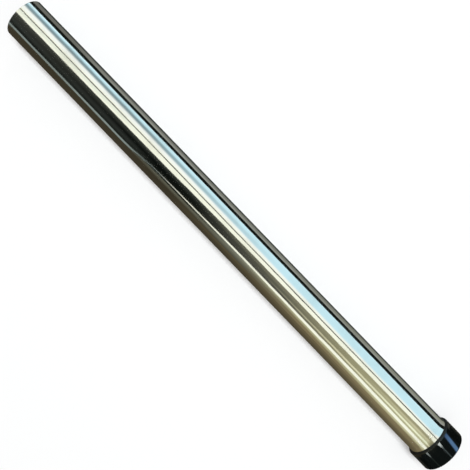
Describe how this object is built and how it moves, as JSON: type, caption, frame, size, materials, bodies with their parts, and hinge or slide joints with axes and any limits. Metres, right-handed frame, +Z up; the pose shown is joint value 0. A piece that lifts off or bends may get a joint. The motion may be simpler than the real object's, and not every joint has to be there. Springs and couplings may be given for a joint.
{
  "type": "vacuum extension tube",
  "caption": "Straight chrome-plated steel suction tube with a plain push-in end and a short socket under a glossy black plastic collar at the other end.",
  "frame": {"origin": "centre of the footprint, on the surface that the tube lies on", "axes": "+X along the tube, out of the socket's mouth; +Z up; the tube's axis is 20.25 mm above the surface"},
  "size_m": [0.5, 0.0405, 0.0405],
  "materials": {
    "chromed_steel": "bright polished chrome plating outside, dull bare steel inside",
    "black_plastic": "glossy moulded"
  },
  "bodies": {
    "root": {"tube": "chromed_steel", "end_collar": "black_plastic"}
  },
  "joints": []
}
